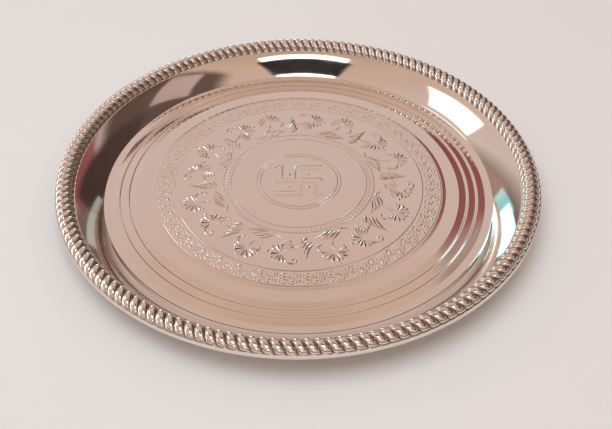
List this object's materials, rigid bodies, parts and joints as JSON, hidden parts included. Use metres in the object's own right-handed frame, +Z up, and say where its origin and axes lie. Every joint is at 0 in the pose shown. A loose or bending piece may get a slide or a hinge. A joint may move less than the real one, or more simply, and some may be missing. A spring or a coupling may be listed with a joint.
{
  "type": "puja thali",
  "caption": "Round shallow offering plate of polished metal, with a flared wall, pressed floral floor and a rope border around the rim.",
  "frame": {"origin": "middle of the plate, on the surface that the standing ring rests on", "axes": "+Z up out of the dish; +Y towards the top of the sign in the middle of the floor; +X to its right"},
  "size_m": [0.254, 0.254, 0.0176],
  "materials": {
    "polished_sheet": "polished silver-coloured sheet with pressed ornament",
    "polished_border": "polished silver-coloured metal, darker between the strands"
  },
  "bodies": {
    "root": {"dish": "polished_sheet", "rope_border": "polished_border"}
  },
  "joints": []
}
